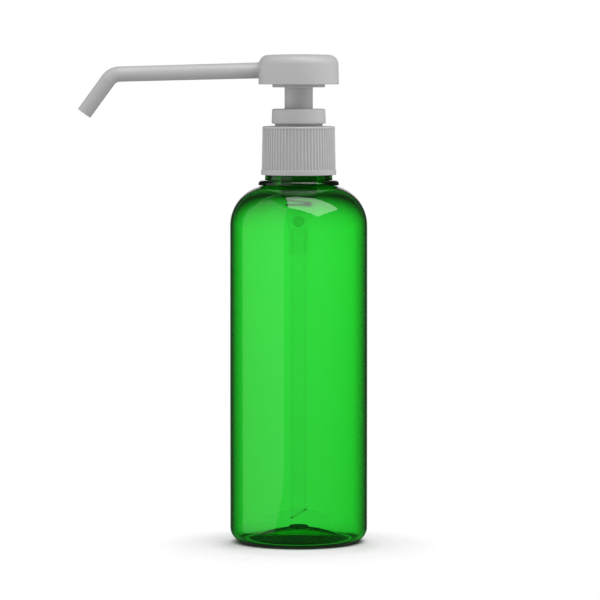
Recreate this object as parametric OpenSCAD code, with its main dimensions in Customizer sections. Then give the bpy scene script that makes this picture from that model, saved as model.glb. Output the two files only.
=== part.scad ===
// Pump bottle: a round blown bottle, a ribbed screw closure and a lotion pump with a long bent spout.
// Millimetres, +Z up. The origin is the centre of the ring that the bottle stands on.
// The spout points along -X. Every height is stacked up from the bottle, so a taller shoulder or
// a longer neck carries the closure, the pump and the head with it.

/* [Bottle body] */
// Outside diameter of the body
body_d = 50; // [46:0.5:58]
// Height at which the straight wall turns into the shoulder
shoulder_z = 115.6; // [95:0.1:140]
// Radius of the shoulder, seen from the side
shoulder_r = 14.7; // [13.5:0.1:16]
// Radius of the heel between the wall and the standing ring
heel_r = 5.2; // [3:0.1:7]
// Wall thickness of the body
wall = 0.8; // [0.6:0.05:1.2]
// Width of the flat ring that the bottle stands on
foot_w = 1.4; // [1:0.1:2.5]
// Height of the push-up in the base
punt_h = 4.4; // [3:0.1:8]
// Diameter of the gate pad on top of the push-up
gate_d = 7; // [5:0.5:10]
// Height of the gate pad
gate_h = 0.6; // [0.4:0.1:1]

/* [Bottle neck] */
// Outside diameter of the neck, at the root of the thread
neck_d = 21.4; // [21:0.1:21.6]
// Wall thickness of the neck
neck_wall = 1.2; // [1:0.05:1.5]
// Diameter of the support bead
bead_d = 29.3; // [28.4:0.1:30]
// Height of the support bead
bead_h = 1.5; // [1.5:0.1:2.4]
// Radius of the support bead's upper edge
bead_edge = 1.25; // [0.8:0.05:1.3]
// Radius of the support bead's lower edge
bead_foot = 0.2; // [0.1:0.05:0.2]
// Height of the bead's underside over the shoulder
bead_lift = 0.2; // [0.1:0.05:0.6]
// Diameter of the waist over the bead
waist_d = 22.4; // [22:0.1:23]
// Height of the waist
waist_h = 0.1; // [0.1:0.1:1]
// Diameter of the neck ring at its lower edge
ring_d = 24.7; // [24:0.1:25]
// Draft of the neck ring, on its diameter
ring_draft = 0.3; // [0:0.05:0.5]
// Height of the neck ring
ring_h = 1.7; // [1.2:0.1:2.5]
// Height of the mouth over the neck ring
finish_h = 14.2; // [13.5:0.1:16]

/* [Screw thread] */
// Rise of the thread in one turn
thread_pitch = 3.175; // [3.1:0.025:3.4]
// Height of the thread over the neck
thread_h = 1.1; // [0.9:0.05:1.1]
// Width of the thread at its root
thread_root_w = 2; // [1.7:0.05:2]
// Width of the thread at its crest
thread_crest_w = 0.9; // [0.7:0.05:0.9]
// Turns of the thread
thread_turns = 1.5; // [1:0.25:1.5]
// Depth of the thread's upper end under the mouth
thread_drop = 2.6; // [2.4:0.1:3]
// Radial gap between each thread's crest and the wall that faces it
thread_play = 0.2; // [0.15:0.05:0.25]

/* [Closure] */
// Diameter over the ribs, at their upper end
closure_top_d = 26.3; // [26.2:0.1:27]
// Diameter over the ribs, at their lower end
closure_low_d = 26.9; // [26.8:0.1:28]
// Diameter of the plain band under the ribs
band_d = 27.3; // [27.2:0.1:29]
// Height of the plain band
band_h = 1.85; // [1.2:0.05:3]
// Number of ribs
rib_count = 68; // [40:1:72]
// Height of a rib over the wall between the ribs
rib_h = 0.28; // [0.15:0.01:0.3]
// Thickness of the closure's top
deck_t = 1.5; // [1.2:0.1:2.2]
// Radius of the closure's top edge
closure_edge = 0.5; // [0.4:0.1:1]
// Gap between the closure's lower rim and the neck ring
closure_gap = 0.2; // [0.1:0.05:0.8]
// Radial gap around the collar's neck in the closure's hole
hole_play = 0.15; // [0.1:0.05:0.3]

/* [Pump body] */
// Thickness of the gasket
gasket_t = 0.9; // [0.6:0.1:1.5]
// Thickness of the housing's flange
flange_t = 1.2; // [1:0.1:2]
// Radial gap around the flange in the closure's thread
flange_play = 0.2; // [0.1:0.05:0.4]
// Bore of the pump cylinder
cylinder_d = 11.8; // [11.6:0.1:12.2]
// Wall thickness of the pump cylinder
cylinder_wall = 0.8; // [0.7:0.05:1]
// Length of the spring as fitted
spring_l = 16.5; // [15:0.1:24]
// Thickness of the housing's floor
floor_t = 1; // [0.8:0.1:1.6]
// Diameter of the inlet ball
ball_d = 4; // [3.6:0.1:4.2]
// Distance that the inlet ball can lift
ball_lift = 1; // [0.6:0.1:1.4]
// Diameter of the hole under the inlet ball
inlet_d = 2.4; // [1.8:0.1:2.6]
// Depth of the socket that holds the dip tube
socket_l = 9; // [6:0.5:12]
// Outside diameter of the dip tube
tube_d = 6; // [5.6:0.1:6.4]
// Wall thickness of the dip tube
tube_wall = 0.8; // [0.6:0.1:1]
// Gap between the dip tube's end and the bottle's floor
tube_gap = 2.5; // [1.5:0.5:8]

/* [Collar] */
// Diameter of the collar at its top
collar_top_d = 19.3; // [19:0.1:20]
// Diameter of the collar at its lower edge
collar_low_d = 19.7; // [19.4:0.1:20.6]
// Height of the collar over its lower edge
collar_h = 5.3; // [5:0.1:8]
// Radius of the collar's top edge
collar_edge = 0.6; // [0.3:0.1:1]
// Diameter of the collar's neck
collar_neck_d = 17.4; // [17.2:0.1:17.8]
// Height of the collar's lower edge over the closure
collar_lift = 1; // [0.6:0.1:2]
// Thickness of the collar's top
collar_deck = 1.3; // [1:0.1:2]
// Height of the ridge that snaps the collar onto the housing
snap_h = 0.25; // [0.15:0.05:0.3]

/* [Moving parts of the pump] */
// Outside diameter of the stem
stem_d = 10.25; // [10:0.05:10.4]
// Bore of the stem
stem_bore = 6.6; // [6.2:0.1:7]
// Length of stem that shows between the collar and the head
stem_show = 7.8; // [7:0.1:10]
// Diameter of the piston rod
rod_d = 5.2; // [4.8:0.1:5.4]
// Bore of the piston rod
rod_bore = 3.2; // [2.8:0.1:3.4]
// Length of the piston
piston_l = 5.9; // [5:0.1:7]
// Distance that the piston slides on its rod, which opens the outlet
piston_shift = 0.8; // [0.6:0.1:1.2]
// Diameter of the spring's wire
wire_d = 0.8; // [0.6:0.05:0.9]
// Mean diameter of the spring
spring_d = 8.8; // [8.4:0.1:9.2]
// Turns of the spring
spring_turns = 7; // [6:1:8]

/* [Head] */
// Diameter of the head at its top
head_top_d = 28.7; // [28:0.1:32]
// Diameter of the head at its lower edge
head_low_d = 29.2; // [28.4:0.1:33]
// Height of the head
head_h = 10.9; // [10.4:0.1:13]
// Radius of the head's top edge
head_edge = 3.4; // [2.4:0.1:3.6]
// Rise of the head's top towards its middle
head_crown = 0.4; // [0.2:0.1:1]
// Wall thickness of the head
head_wall = 1.3; // [1:0.1:1.6]
// Diameter of the ring under the head
skirt_d = 19.1; // [18:0.1:20]
// Distance that the ring reaches below the head
skirt_drop = 1.1; // [0.8:0.1:2]
// Thickness of the webs inside the head
web_t = 1; // [0.8:0.1:1.4]

/* [Spout] */
// Outside diameter of the spout at the head
spout_d = 5.76; // [5.4:0.02:6]
// Outside diameter of the spout at its bend and tip
tip_d = 5.54; // [5:0.02:5.7]
// Bore of the spout
spout_bore = 3.4; // [2.8:0.1:3.6]
// Distance from the pump's axis to the corner of the bend, along the spout
arm_l = 67.6; // [50:0.1:80]
// Height of the spout's axis over the head's lower edge
spout_up = 5.4; // [5:0.1:5.6]
// Droop of the arm below the horizontal, in degrees
spout_droop = 1.5; // [0:0.1:4]
// Angle between the arm and the tip, in degrees
bend_angle = 52.4; // [30:0.1:80]
// Radius of the bend, on the tube's middle line
bend_r = 5.5; // [4.5:0.1:9]
// Distance from the corner of the bend to the tip's end
tip_l = 17.5; // [10:0.1:30]
// Length of the spigot that holds the spout in the head
spigot_l = 7; // [4:0.1:8]
// Distance that the spout's boss stands out of the head
boss_out = 0.5; // [0.3:0.1:1]

/* [Hidden] */
$fn = 96;

// Clearances
snug = 0.02;        // between pieces that are pressed or clipped together
running = 0.05;     // radial gap of a piece that slides or turns in a bore
seat_gap = 0.03;    // gap under a piece that rests on a seat and can leave it
eps = 0.01;         // overlap that joins two shapes of one piece, or carries a cut through

// Colours, as the photograph shows them
pet_green = [0.16, 0.72, 0.2, 0.6];
pump_grey = [0.74, 0.74, 0.74];
natural = [0.93, 0.95, 0.93, 0.6];
steel = [0.72, 0.74, 0.76];
glass = [0.8, 0.88, 0.85, 0.4];

// Heights of the bottle
body_r = body_d / 2;
shoulder_top = shoulder_z + shoulder_r;
bead_z = shoulder_top + bead_lift;
waist_z = bead_z + bead_h;
ring_z = waist_z + waist_h;
ring_top = ring_z + ring_h;
mouth_z = ring_top + finish_h;

// Push-up in the base, a cap of a sphere inside the standing ring
punt_rim = body_r - heel_r - foot_w;
punt_sphere = (punt_rim * punt_rim + punt_h * punt_h) / (2 * punt_h);
punt_z = punt_h - punt_sphere;
inside_floor = punt_h + wall + gate_h;

// Neck and thread
neck_r = neck_d / 2;
mouth_r = neck_r - neck_wall;
thread_r = neck_r + thread_h;
thread_top = mouth_z - thread_drop;
thread_end = 30;    // degrees over which each end of a thread fades into its wall
thread_step = 10;   // degrees between two sections of a thread
thread_sink = 0.3;  // depth of a thread's root in its wall
thread_stub = 0.35; // share of its height that a thread keeps at its ends
mouth_edge = 0.4;
fillet_r = 1.2;     // inside, between the shoulder and the neck

// Closure
closure_bore_r = thread_r + thread_play;
closure_z = ring_top + closure_gap;
deck_z = mouth_z + gasket_t + flange_t;
closure_top = deck_z + deck_t;
band_top = closure_z + band_h;
rib_top = closure_top - closure_edge;
rib_points = 6;     // points across a rib
rib_proud = 0.02;   // keeps the belt's valleys just outside the wall
rib_sink = 0.3;     // depth of the belt's inner face in the wall
rim_t = 0.4;        // plain rim between the ribs and the rounded top edge
rim_proud = 0.06;   // the rim's reach over the ribs
band_bevel = 0.2;
closure_hole_r = collar_neck_d / 2 + hole_play;
closure_thread_r = neck_r + thread_play;

// Collar
collar_z = closure_top + collar_lift;
collar_top = collar_z + collar_h;
collar_neck_taper = 0.25;
collar_stop = collar_top - collar_deck;
stem_r = stem_d / 2;
guide_r = stem_r + running;

// Pump housing
flange_r = neck_r + thread_play - flange_play;
cylinder_r = cylinder_d / 2;
barrel_r = cylinder_r + cylinder_wall;
collar_wall = 0.8;  // wall of the collar's neck around the housing's rim
rim_gap = 0.6;      // gap between the housing's rim and the collar's deck
snap_up = 3;        // height of the snap ridge over the housing's flange
rim_r = collar_neck_d / 2 - collar_neck_taper - collar_wall;
rim_top = collar_stop - rim_gap;
snap_z = deck_z + snap_up;
vent_d = 1.2;

// Piston, rod and spring, from the stop under the collar downwards
shoulder_t = 1.2;
stem_reach = 9.8;   // length of the stem below the stop
stem_step = 0.6;    // step from the stem's shoulder down to its thinner foot
stem_edge = 0.4;
shoulder_play = 0.2; // radial gap around the stem's shoulder
lift_play = 0.1;    // gap that is left where a piece stops short of another
stem_foot = collar_stop - stem_reach;
piston_top = stem_foot - piston_shift - lift_play;
piston_z = piston_top - piston_l;
valve_z = piston_z - seat_gap;
valve_t = 1.2;
valve_r = 4.4;
spring_top = valve_z - valve_t;
ledge_z = spring_top - spring_l;
spigot_drop = 1.8;
spigot_play = 0.5;  // radial gap between the rod's spigot and the spring
rod_r = rod_d / 2;
rod_bore_r = rod_bore / 2;
port_w = 1.2;
plug_l = 6.5;
plug_up = 0.7;      // height of the plug's foot over the stem's foot
piston_wall = 0.9;
piston_lip = 0.65;
piston_web = 1.1;
lip_short = 0.6;    // distance of the lip from each end of the piston
lip_groove = 0.2;   // depth of the groove between the two sealing edges
lip_groove_h = 2;

// Inlet valve and dip tube
ball_r = ball_d / 2;
inlet_r = inlet_d / 2;
ball_play = 0.6;    // radial gap around the ball
chamber_neck = 1.5; // distance from the nubs up to the spring's ledge
chamber_r = ball_r + ball_play;
nub_t = 0.8;
nub_reach = 1;
chamber_floor = 1.2;
ball_rise = ball_r * sqrt(2) - inlet_r + seat_gap * sqrt(2);
seat_z = ledge_z - ball_rise - ball_r - ball_lift - nub_t - chamber_neck;
ball_z = seat_z + ball_rise;
nub_z = ball_z + ball_r + ball_lift + lift_play;
socket_top = seat_z - chamber_floor;
socket_z = socket_top - socket_l;
tube_r = tube_d / 2;
socket_wall = 0.9;
throat_r = tube_r + socket_wall;
throat_z = ledge_z - floor_t - (barrel_r - throat_r);
tube_z = inside_floor + tube_gap;
tube_cut = 30;

// Head and stem
skirt_z = collar_top + stem_show;
head_z = skirt_z + skirt_drop;
head_top = head_z + head_h;
head_top_r = head_top_d / 2;
head_low_r = head_low_d / 2;
crown_fn = 720;     // the crown is a cap of a very large ball, so its circle needs more sides
crown_sphere = (head_top_r * head_top_r + head_crown * head_crown) / (2 * head_crown);
column_r = stem_r + head_wall;
cap_under = head_top - head_crown - head_wall / 2; // where the ring and the column end in the cap
spout_z = head_z + spout_up;
spout_r = spout_d / 2;
tip_r = tip_d / 2;
spout_bore_r = spout_bore / 2;
spigot_step = 0.65; // step from the spout down to its spigot
boss_step = 0.15;   // step from the boss down to the spout
spigot_r = spout_r - spigot_step;
socket_r = spigot_r + head_wall;
boss_r = spout_r + boss_step;
spout_root = head_r(spout_z) + boss_out;
spigot_gap = 0.6;   // distance of the stem's top below the spigot
column_up = 0.2;    // distance of the column's foot above the ring's
stem_top = spout_z - spigot_r - spigot_gap;
stem_socket_z = skirt_z + column_up;
skirt_edge = 0.3;

// Spout
bend_set = bend_r * tan(bend_angle / 2);
bend_proud = 0.03;
bend_lap = 0.05;    // length of each straight stretch that lies inside the bend

// Radius of the head's side at a height
function head_r(z) = head_low_r - (head_low_r - head_top_r) * (z - head_z) / head_h;

// Height of the head's crowned top over a radius
function crown_z(r) = head_top - crown_sphere + sqrt(crown_sphere * crown_sphere - r * r);

// Radius over the closure's ribs at a height
function rib_crest(z) =
    closure_low_d / 2 - (closure_low_d - closure_top_d) / 2 * (z - band_top) / (rib_top - band_top);

// A rectangle between two radii and two heights
module rect(r0, z0, r1, z1) {
    translate([r0, z0]) square([r1 - r0, z1 - z0]);
}

module dot(r, z, size) {
    translate([r, z]) circle(size);
}

// What has to go to round a corner at (r, z); way_r and way_z are 1 or -1, out of the corner
module corner(r, z, size, way_r, way_z) {
    cr = r - way_r * size;
    cz = z - way_z * size;
    difference() {
        translate([cr + (way_r > 0 ? 0 : -size - 1), cz + (way_z > 0 ? 0 : -size - 1)])
            square(size + 1);
        dot(cr, cz, size);
    }
}

module turned() {
    rotate_extrude() children();
}

// Keeps what lies outside the axis
module right_of_axis() {
    intersection() {
        children();
        rect(0, -10, body_d, head_top + 10);
    }
}

// Half outline of the body, drawn in from the outside by a wall
module body_outline(inset) {
    r = body_r - inset;
    right_of_axis() {
        rect(0, heel_r, r, shoulder_z);
        rect(0, inset, body_r - heel_r, heel_r + eps);
        dot(body_r - heel_r, heel_r, heel_r - inset);
        rect(0, shoulder_z - eps, body_r - shoulder_r, shoulder_top - inset);
        dot(body_r - shoulder_r, shoulder_z, shoulder_r - inset);
    }
}

// The push-up's cap, thicker by a wall for the inside of the bottle
module punt_outline(grow) {
    intersection() {
        dot(0, punt_z, punt_sphere + grow);
        rect(0, -1, body_r, punt_h + grow);
    }
}

module neck_outline() {
    rect(0, shoulder_z, neck_r, mouth_z);
    difference() {
        rect(0, shoulder_z, bead_d / 2, waist_z);
        rect(neck_r, shoulder_z - 1, body_r, bead_z);
        corner(bead_d / 2, waist_z, bead_edge, 1, 1);
        corner(bead_d / 2, bead_z, bead_foot, 1, -1);
    }
    rect(0, shoulder_z, waist_d / 2, ring_z + eps);
    polygon([[0, ring_z], [ring_d / 2, ring_z], [(ring_d - ring_draft) / 2, ring_top], [0, ring_top]]);
}

// One section of a thread: four points around its middle at (radius, height)
function thread_ring(a, z, wall_r, crest_r, fade) = [
    for (p = [[wall_r, -thread_root_w], [wall_r + (crest_r - wall_r) * fade, -thread_crest_w],
              [wall_r + (crest_r - wall_r) * fade, thread_crest_w], [wall_r, thread_root_w]])
        [p[0] * cos(a), p[0] * sin(a), z + p[1] / 2 * (0.5 + 0.5 * fade)]
];

// A right-hand thread as one closed helical ridge that stands out of, or into, a wall
module thread(wall_r, crest_r, z_low) {
    sections = round(thread_turns * 360 / thread_step);
    inward = crest_r < wall_r;
    points = [
        for (i = [0:sections])
            let (a = i * thread_step, left = thread_turns * 360 - a,
                 fade = max(thread_stub, min(1, a / thread_end, left / thread_end)))
            each thread_ring(a, z_low + a / 360 * thread_pitch, wall_r, crest_r, fade)
    ];
    ring = [0, 1, 2, 3];
    last = sections * 4;
    sides = [
        for (i = [0:sections - 1], j = ring)
            let (p = i * 4 + j, q = i * 4 + (j + 1) % 4)
            each [[p, q, q + 4], [p, q + 4, p + 4]]
    ];
    faces = concat([[3, 2, 1, 0]], sides, [[last, last + 1, last + 2, last + 3]]);
    polyhedron(points, inward ? [for (f = faces) [for (k = [len(f) - 1:-1:0]) f[k]]] : faces);
}

module bottle() {
    low = thread_top - thread_turns * thread_pitch;
    color(pet_green) difference() {
        union() {
            turned() difference() {
                union() {
                    body_outline(0);
                    neck_outline();
                }
                corner(neck_r, mouth_z, mouth_edge, 1, 1);
            }
            thread(neck_r - thread_sink, thread_r, low);
        }
        turned() {
            difference() {
                body_outline(wall);
                punt_outline(wall);
                rect(0, punt_h, gate_d / 2, inside_floor);
            }
            rect(0, shoulder_z, mouth_r, mouth_z + 1);
            bottle_fillet();
        }
        turned() punt_outline(0);
    }
}

// The cavity's rounded corner between the shoulder and the neck's bore
module bottle_fillet() {
    top = shoulder_top - wall;
    difference() {
        rect(mouth_r - eps, top - eps, mouth_r + fillet_r, top + fillet_r);
        dot(mouth_r + fillet_r, top + fillet_r, fillet_r);
    }
}

module closure_outline() {
    difference() {
        union() {
            polygon([[0, band_top - eps], [rib_crest(band_top) - rib_h, band_top - eps],
                     [rib_crest(rib_top) - rib_h, rib_top], [0, rib_top]]);
            rect(0, rib_top - rim_t, rib_crest(rib_top) + rim_proud, closure_top);
            rect(0, closure_z, band_d / 2, band_top);
        }
        corner(rib_crest(rib_top) + rim_proud, closure_top, closure_edge, 1, 1);
        corner(band_d / 2, band_top, band_bevel, 1, 1);
    }
}

// Radius of the ribbed belt at a height, and at a share of the way across a rib
function belt_r(z, share) = rib_crest(z) - rib_h + rib_h * sqrt(1 - pow(2 * share - 1, 2)) + rib_proud;

// The ribs as one closed belt around the closure's wall; its inner face lies in the wall
module ribs() {
    count = rib_count * rib_points;
    low = band_top - band_bevel - rim_t;
    high = rib_top - rim_t / 2;
    points = [
        for (i = [0:count - 1])
            let (a = i * 360 / count, share = (i % rib_points) / rib_points)
            each [for (p = [[belt_r(low, share), low], [belt_r(high, share), high],
                            [rib_crest(high) - rib_h - rib_sink, high],
                            [rib_crest(low) - rib_h - rib_sink, low]])
                [p[0] * cos(a), p[0] * sin(a), p[1]]]
    ];
    faces = [
        for (i = [0:count - 1], j = [0:3])
            let (p = i * 4 + j, q = i * 4 + (j + 1) % 4, next = ((i + 1) % count - i) * 4)
            each [[p, q, q + next], [p, q + next, p + next]]
    ];
    polyhedron(points, faces);
}

module closure() {
    low = thread_top - (thread_turns + 0.5) * thread_pitch;
    color(pump_grey) union() {
        difference() {
            union() {
                turned() closure_outline();
                ribs();
            }
            translate([0, 0, closure_z - 1]) cylinder(r = closure_bore_r, h = deck_z - closure_z + 1);
            translate([0, 0, deck_z - 1]) cylinder(r = closure_hole_r, h = deck_t + 2);
        }
        thread(closure_bore_r + thread_sink, closure_thread_r, low);
    }
}

module gasket() {
    color(natural) translate([0, 0, mouth_z]) difference() {
        cylinder(r = flange_r, h = gasket_t);
        translate([0, 0, -1]) cylinder(r = barrel_r + snug, h = gasket_t + 2);
    }
}

module housing_outline() {
    rect(0, ledge_z - floor_t, barrel_r, deck_z);
    rect(0, mouth_z + gasket_t, flange_r, deck_z);
    rect(0, deck_z - eps, rim_r, rim_top);
    dot(rim_r, snap_z, snap_h);
    polygon([[0, ledge_z - floor_t + eps], [barrel_r, ledge_z - floor_t + eps],
             [barrel_r, ledge_z - floor_t], [throat_r, throat_z], [0, throat_z]]);
    rect(0, socket_z, throat_r, ledge_z - floor_t);
}

module pump_housing() {
    color(natural) union() {
        difference() {
            turned() housing_outline();
            translate([0, 0, ledge_z]) cylinder(r = cylinder_r, h = rim_top - ledge_z + 1);
            translate([0, 0, seat_z + chamber_r - inlet_r])
                cylinder(r = chamber_r, h = ledge_z - seat_z);
            translate([0, 0, seat_z])
                cylinder(r1 = inlet_r, r2 = chamber_r, h = chamber_r - inlet_r);
            translate([0, 0, socket_top - 1]) cylinder(r = inlet_r, h = chamber_floor + 2);
            translate([0, 0, socket_z - 1]) cylinder(r = tube_r + snug, h = socket_l + 1);
            translate([0, 0, mouth_z - vent_d]) rotate([0, 90, 0])
                cylinder(d = vent_d, h = barrel_r + 1);
        }
        ball_nubs();
    }
}

// Three nubs over the inlet ball that keep it in its chamber
module ball_nubs() {
    intersection() {
        translate([0, 0, nub_z]) cylinder(r = chamber_r + cylinder_wall / 2, h = nub_t);
        for (i = [0:2])
            rotate([0, 0, 60 + i * 120])
                translate([chamber_r - nub_reach, -nub_t / 2, nub_z])
                    cube([2 * nub_reach, nub_t, nub_t]);
    }
}

module inlet_ball() {
    color(glass) translate([0, 0, ball_z]) sphere(r = ball_r);
}

module dip_tube() {
    top = socket_top - snug;
    color(natural) difference() {
        translate([0, 0, tube_z]) cylinder(r = tube_r, h = top - tube_z);
        translate([0, 0, tube_z - 1]) cylinder(r = tube_r - tube_wall, h = top - tube_z + 2);
        translate([-tube_r, 0, tube_z]) rotate([0, -tube_cut, 0])
            translate([-tube_d, -tube_d, -3 * tube_d]) cube([4 * tube_d, 2 * tube_d, 3 * tube_d]);
    }
}

module collar_outline() {
    neck_r1 = collar_neck_d / 2;
    difference() {
        union() {
            polygon([[0, deck_z], [neck_r1 - collar_neck_taper, deck_z],
                     [neck_r1, collar_z + eps], [0, collar_z + eps]]);
            polygon([[0, collar_z], [collar_low_d / 2, collar_z],
                     [collar_top_d / 2, collar_top], [0, collar_top]]);
        }
        corner(collar_top_d / 2, collar_top, collar_edge, 1, 1);
        rect(0, deck_z - 1, guide_r, collar_top + 1);
        rect(0, deck_z - 1, rim_r + snug, collar_stop);
        dot(rim_r, snap_z, snap_h + snug);
    }
}

module collar() {
    color(pump_grey) turned() collar_outline();
}

// Height of the spring's wire after a number of turns: flat end turns and even turns between
function spring_rise(t) =
    let (flat = wire_d + seat_gap, active = spring_turns - 2,
         free = spring_l - 2 * seat_gap - wire_d - 2 * flat)
    t < 1 ? t * flat
    : t > spring_turns - 1 ? flat + free + (t - spring_turns + 1) * flat
    : flat + (t - 1) * free / active;

module spring() {
    steps = 20;
    sides = 8;
    sections = spring_turns * steps;
    z0 = ledge_z + seat_gap + wire_d / 2;
    points = [
        for (i = [0:sections], j = [0:sides - 1])
            let (a = i * 360 / steps, b = j * 360 / sides,
                 r = spring_d / 2 + wire_d / 2 * cos(b),
                 z = z0 + spring_rise(i / steps) + wire_d / 2 * sin(b))
            [r * cos(a), r * sin(a), z]
    ];
    last = sections * sides;
    side_faces = [
        for (i = [0:sections - 1], j = [0:sides - 1])
            let (p = i * sides + j, q = i * sides + (j + 1) % sides)
            each [[p, q + sides, p + sides], [p, q, q + sides]]
    ];
    ends = [[for (j = [sides - 1:-1:0]) j], [for (j = [0:sides - 1]) last + j]];
    color(steel) polyhedron(points, concat(side_faces, ends));
}

module piston_rod() {
    plug_z = stem_foot + plug_up;
    color(natural) difference() {
        union() {
            translate([0, 0, spring_top - spigot_drop])
                cylinder(r = spring_d / 2 - wire_d / 2 - spigot_play, h = spigot_drop + eps);
            translate([0, 0, spring_top]) cylinder(r = valve_r, h = valve_t);
            translate([0, 0, spring_top]) cylinder(r = rod_r, h = plug_z - spring_top + eps);
            translate([0, 0, plug_z]) cylinder(r = stem_bore / 2 - snug, h = plug_l);
        }
        translate([0, 0, valve_z]) cylinder(r = rod_bore_r, h = plug_z + plug_l - valve_z + 1);
        for (a = [0, 90])
            rotate([0, 0, a]) translate([-rod_d, -port_w / 2, valve_z])
                cube([2 * rod_d, port_w, piston_shift]);
    }
}

module piston() {
    inner = rod_r + running;
    outer = cylinder_r - running;
    mid = (piston_z + piston_top) / 2;
    color(natural) turned() {
        rect(inner, piston_z, inner + piston_wall, piston_top);
        rect(inner + piston_wall - eps, mid - piston_web / 2,
             outer - piston_lip + eps, mid + piston_web / 2);
        difference() {
            rect(outer - piston_lip, piston_z + lip_short, outer, piston_top - lip_short);
            rect(outer - lip_groove, mid - lip_groove_h / 2, outer + 1, mid + lip_groove_h / 2);
        }
    }
}

module stem() {
    color(pump_grey) turned() difference() {
        union() {
            rect(0, collar_stop - shoulder_t, stem_r, stem_top);
            rect(0, collar_stop - shoulder_t, cylinder_r - shoulder_play, collar_stop - snug);
            rect(0, stem_foot, stem_r - stem_step, collar_stop);
        }
        rect(0, stem_foot - 1, stem_bore / 2, stem_top + 1);
        corner(stem_r, stem_top, stem_edge, 1, 1);
    }
}

// Half outline of the head's cap, drawn in by a wall
module cap_outline(inset) {
    low_r = head_low_r - inset;
    top_r = head_top_r - inset;
    edge = head_edge - inset / 2;
    difference() {
        intersection() {
            polygon([[0, head_z], [low_r, head_z], [top_r, head_top], [0, head_top]]);
            dot(0, head_top - crown_sphere, crown_sphere - inset, $fn = crown_fn);
        }
        corner(head_r(head_top - edge) - inset, crown_z(top_r - edge) - inset, edge, 1, 1);
    }
}

// Places its children along the spout, with their +Z outwards and their +X upwards
module along_spout(distance) {
    translate([0, 0, spout_z]) rotate([0, -90 - spout_droop, 0]) translate([0, 0, distance]) children();
}

module head_shell() {
    turned() difference() {
        cap_outline(0);
        cap_outline(head_wall);
    }
    turned() difference() {
        rect(skirt_d / 2 - head_wall, skirt_z, skirt_d / 2, cap_under);
        corner(skirt_d / 2, skirt_z, skirt_edge, 1, -1);
    }
    translate([0, 0, stem_socket_z]) cylinder(r = column_r, h = cap_under - stem_socket_z);
}

// Webs between the column, the ring and the cap
module head_webs() {
    web_z = head_z + head_h / 2;
    intersection() {
        for (a = [45, 135, 90, 0])
            rotate([0, 0, a]) translate([-head_low_r, -web_t / 2, web_z])
                cube([2 * head_low_r, web_t, cap_under - web_z]);
        turned() cap_outline(head_wall / 2);
    }
}

module head() {
    color(pump_grey) difference() {
        union() {
            head_shell();
            head_webs();
            along_spout(column_r - 1)
                cylinder(r = socket_r, h = spout_root - boss_out - column_r - head_wall / 2 + 1);
            along_spout(spout_root - boss_out - head_wall)
                cylinder(r = boss_r, h = head_wall + boss_out);
        }
        translate([0, 0, stem_socket_z - 1])
            cylinder(r = stem_r + snug, h = stem_top + snug - stem_socket_z + 1);
        translate([0, 0, stem_top - 1]) cylinder(r = stem_bore / 2, h = spout_z - stem_top + 1);
        along_spout(0) cylinder(r = spout_bore_r, h = spout_root + 1);
        along_spout(spout_root - spigot_l - snug) cylinder(r = spigot_r + snug, h = spigot_l + 1);
    }
}

// A stretch of the spout's tube along +Z
module pipe(r1, r2, length) {
    difference() {
        cylinder(r1 = r1, r2 = r2, h = length);
        translate([0, 0, -1]) cylinder(r = spout_bore_r, h = length + 2);
    }
}

// The bend stands a hair proud of the straight stretches, which leaves a witness line at each end
module spout_bend() {
    translate([-bend_r, 0, arm_l - bend_set]) rotate([90, 0, 0])
        rotate_extrude(angle = bend_angle) difference() {
            dot(bend_r, 0, tip_r + bend_proud);
            dot(bend_r, 0, spout_bore_r - bend_proud);
        }
}

// Places its children at the end of the bend, with their +Z along the tip
module spout_tip() {
    translate([-bend_r * (1 - cos(bend_angle)), 0, arm_l - bend_set + bend_r * sin(bend_angle)])
        rotate([0, -bend_angle, 0]) children();
}

module spout() {
    color(pump_grey) along_spout(0) {
        translate([0, 0, spout_root - spigot_l]) pipe(spigot_r, spigot_r, spigot_l + bend_lap);
        translate([0, 0, spout_root]) pipe(spout_r, tip_r, arm_l - bend_set - spout_root + bend_lap);
        spout_bend();
        spout_tip() translate([0, 0, -bend_lap]) pipe(tip_r, tip_r, tip_l - bend_set + bend_lap);
    }
}

bottle();
closure();
gasket();
pump_housing();
collar();
inlet_ball();
dip_tube();
spring();
piston_rod();
piston();
stem();
head();
spout();
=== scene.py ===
# %% [markdown]
# Pump bottle
#
# A round bottle of clear green plastic stands on a white floor. A ribbed closure is screwed on its
# neck, and it carries a lotion pump with a round press head and a long bent spout. This file dresses
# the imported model: the pieces that show are modelled again with smooth surfaces, and the pieces
# inside keep their shape and get a material.

# %% Load the model
import math

import bpy
from mathutils import Matrix, Vector


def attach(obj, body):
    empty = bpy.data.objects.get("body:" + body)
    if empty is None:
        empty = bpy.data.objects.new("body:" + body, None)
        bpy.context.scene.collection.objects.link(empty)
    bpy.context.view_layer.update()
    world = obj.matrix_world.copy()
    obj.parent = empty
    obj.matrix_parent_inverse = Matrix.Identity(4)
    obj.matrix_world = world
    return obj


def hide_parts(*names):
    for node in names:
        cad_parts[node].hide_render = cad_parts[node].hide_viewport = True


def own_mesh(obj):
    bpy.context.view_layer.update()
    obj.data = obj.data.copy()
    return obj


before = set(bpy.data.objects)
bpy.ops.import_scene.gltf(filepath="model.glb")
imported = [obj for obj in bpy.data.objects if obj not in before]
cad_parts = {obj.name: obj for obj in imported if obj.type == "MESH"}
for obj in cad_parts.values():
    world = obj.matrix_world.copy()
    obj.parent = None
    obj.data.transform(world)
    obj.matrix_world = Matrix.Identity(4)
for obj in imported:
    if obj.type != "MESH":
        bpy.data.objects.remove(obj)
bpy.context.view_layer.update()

print("nodes:", ", ".join(sorted(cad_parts)))

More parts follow.
